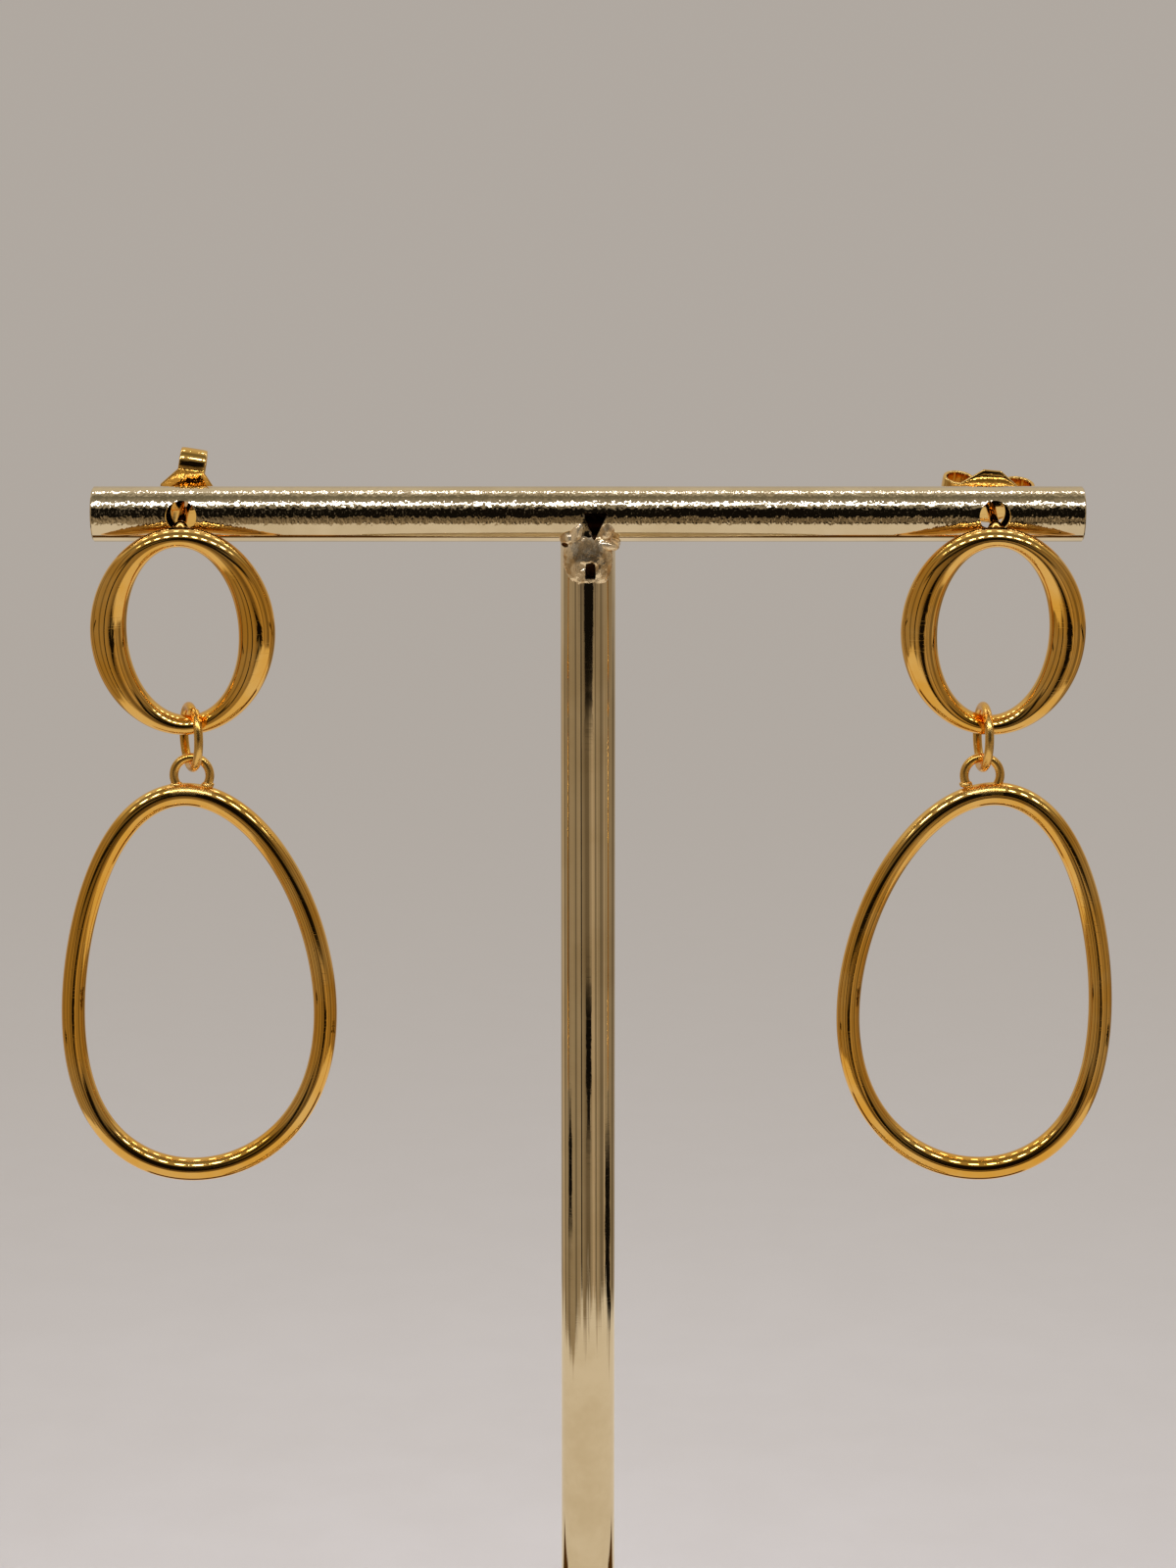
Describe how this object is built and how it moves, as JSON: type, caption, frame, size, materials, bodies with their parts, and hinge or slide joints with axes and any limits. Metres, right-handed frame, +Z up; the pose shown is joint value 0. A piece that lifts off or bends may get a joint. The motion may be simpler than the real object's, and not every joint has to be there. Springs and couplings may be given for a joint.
{
  "type": "pair of dangle earrings on a T-bar stand",
  "caption": "Stud earrings with a small oval ring, jump ring and large egg-shaped drop ring, held by butterfly nuts on a metal T-bar display stand with a round base.",
  "frame": {"origin": "centre of the underside of the stand's base", "axes": "+Z up along the upright, +X along the cross tube to the right as seen from the front, -Y towards the front, where the earrings face"},
  "size_m": [0.0971, 0.058, 0.1333],
  "materials": {
    "stand_metal": "pale champagne plating on steel, polished, with fine scratches",
    "polished_gold": "rich yellow gold plating, mirror polished",
    "nut_gold": "yellow gold plating on pressed sheet"
  },
  "bodies": {
    "stand": {"stand_base": "stand_metal", "stand_t_bar": "stand_metal", "left_stud_ring": "polished_gold", "left_ear_nut": "nut_gold", "right_stud_ring": "polished_gold", "right_ear_nut": "nut_gold"},
    "left_link": {"left_jump_ring": "polished_gold"},
    "left_drop": {"left_drop_ring": "polished_gold"},
    "right_link": {"right_jump_ring": "polished_gold"},
    "right_drop": {"right_drop_ring": "polished_gold"}
  },
  "joints": [
    {"name": "left_link_swing", "type": "hinge", "parent": "stand", "child": "left_link", "pos_m": [-0.03622, 0.0002, 0.10821], "axis": [0.9455, 0.3256, 0], "range_deg": [-45, 45]},
    {"name": "left_drop_sway", "type": "hinge", "parent": "left_link", "child": "left_drop", "pos_m": [-0.03622, 0.0002, 0.10429], "axis": [-0.3256, 0.9455, 0], "range_deg": [-35, 35]},
    {"name": "right_link_swing", "type": "hinge", "parent": "stand", "child": "right_link", "pos_m": [0.03607, 0.0002, 0.10821], "axis": [0.9945, 0.1045, 0], "range_deg": [-45, 45]},
    {"name": "right_drop_sway", "type": "hinge", "parent": "right_link", "child": "right_drop", "pos_m": [0.03607, 0.0002, 0.10429], "axis": [-0.1045, 0.9945, 0], "range_deg": [-35, 35]}
  ]
}
